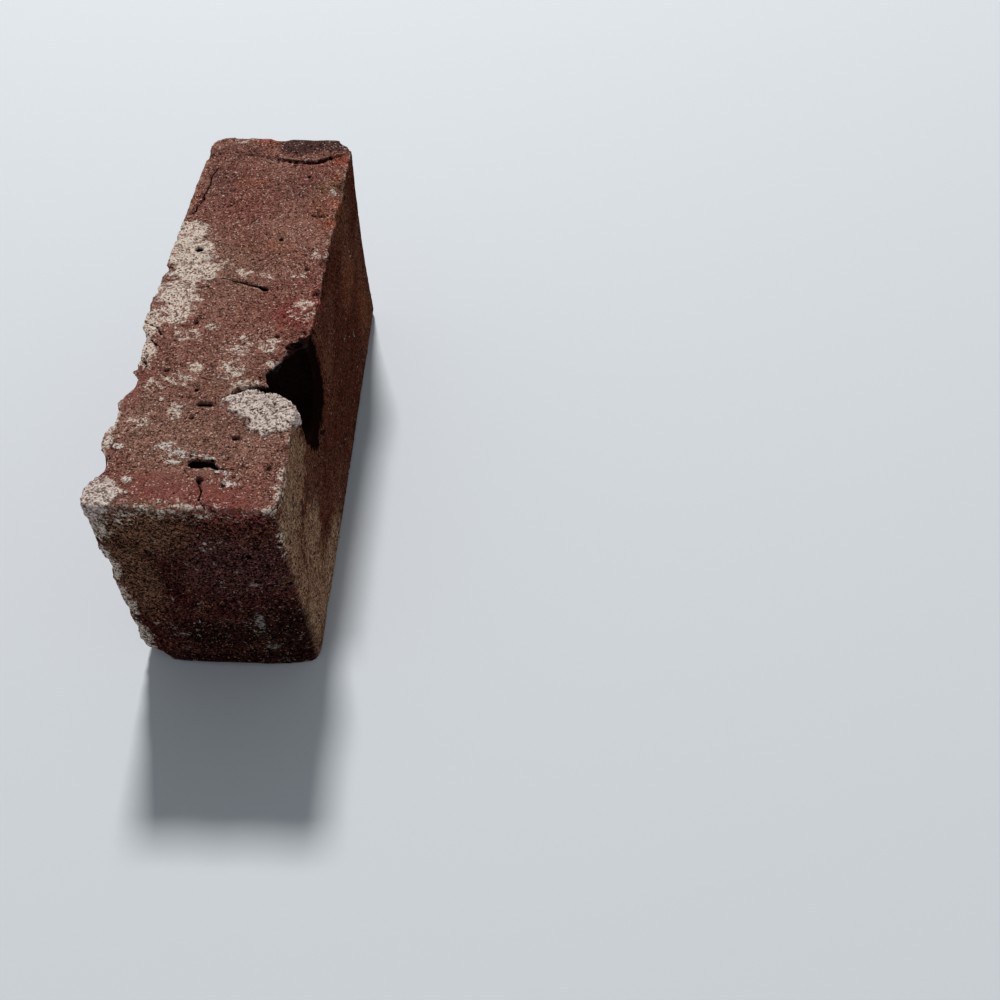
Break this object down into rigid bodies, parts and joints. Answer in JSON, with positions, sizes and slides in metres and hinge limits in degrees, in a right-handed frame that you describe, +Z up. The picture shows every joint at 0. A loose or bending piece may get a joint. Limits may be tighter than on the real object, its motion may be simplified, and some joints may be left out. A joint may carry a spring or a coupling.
{
  "type": "clay brick",
  "caption": "Reclaimed solid clay brick, hand moulded and worn, with a broken-out hollow and a fire crack in its upper long face, standing on edge.",
  "frame": {"origin": "on the ground under the middle of the brick as it stands on its long narrow face", "axes": "+Z up, +Y along the brick's length away from the header that the picture shows, +X across its thickness to the right"},
  "size_m": [0.071, 0.2086, 0.0998],
  "materials": {
    "fired_clay": "rough, dusty fired clay with mortar residue"
  },
  "bodies": {
    "root": {"brick": "fired_clay"}
  },
  "joints": []
}
